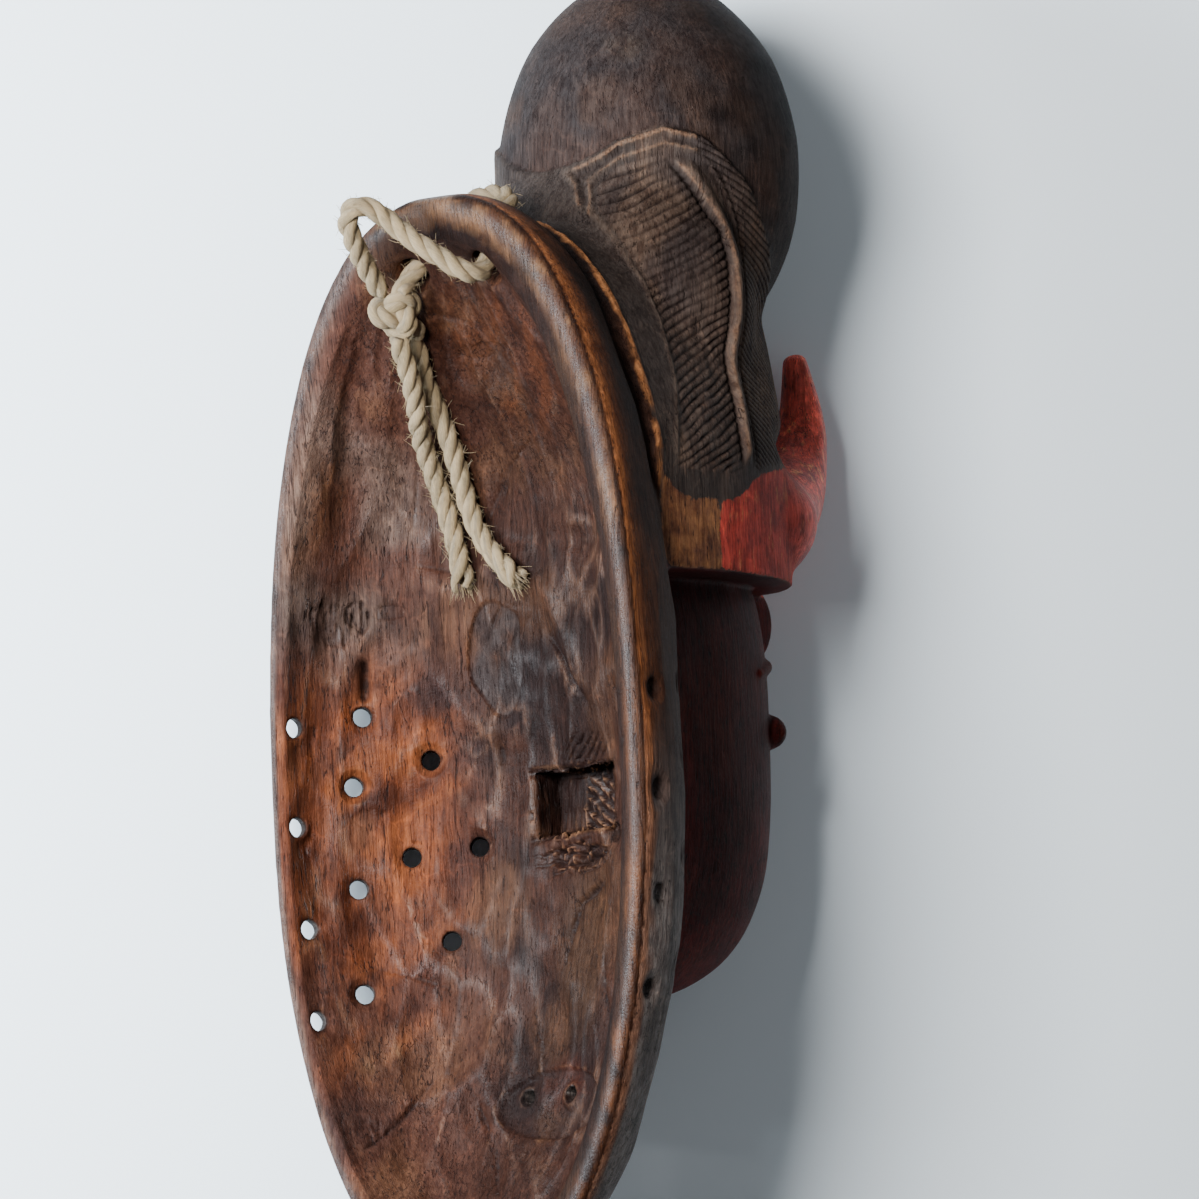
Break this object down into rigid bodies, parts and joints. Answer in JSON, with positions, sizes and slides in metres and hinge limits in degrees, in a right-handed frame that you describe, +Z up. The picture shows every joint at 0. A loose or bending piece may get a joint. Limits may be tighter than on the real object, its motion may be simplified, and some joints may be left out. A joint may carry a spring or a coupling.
{
  "type": "guro mask",
  "caption": "Carved wooden face mask with a hollow back, pierced cheeks, a bun-shaped coiffure, a curled forehead horn and a knotted jute cord, lying on its front.",
  "frame": {"origin": "centre of the underside of the whole part's bounding box, on the surface it lies on", "axes": "+Z up, +Y along the face's height towards the bun, the open back faces -X and up"},
  "size_m": [0.1848, 0.405, 0.151],
  "materials": {
    "carved_wood": "hand-carved hardwood, stained dark brown outside with a dark red face and horn, reddish brown and tooled inside, edges worn to bare wood",
    "jute": "twisted undyed jute cord with frayed ends"
  },
  "bodies": {
    "root": {"mask": "carved_wood", "cord_loop": "jute", "cord_knot": "jute", "cord_tail_left": "jute", "cord_tail_right": "jute"}
  },
  "joints": []
}
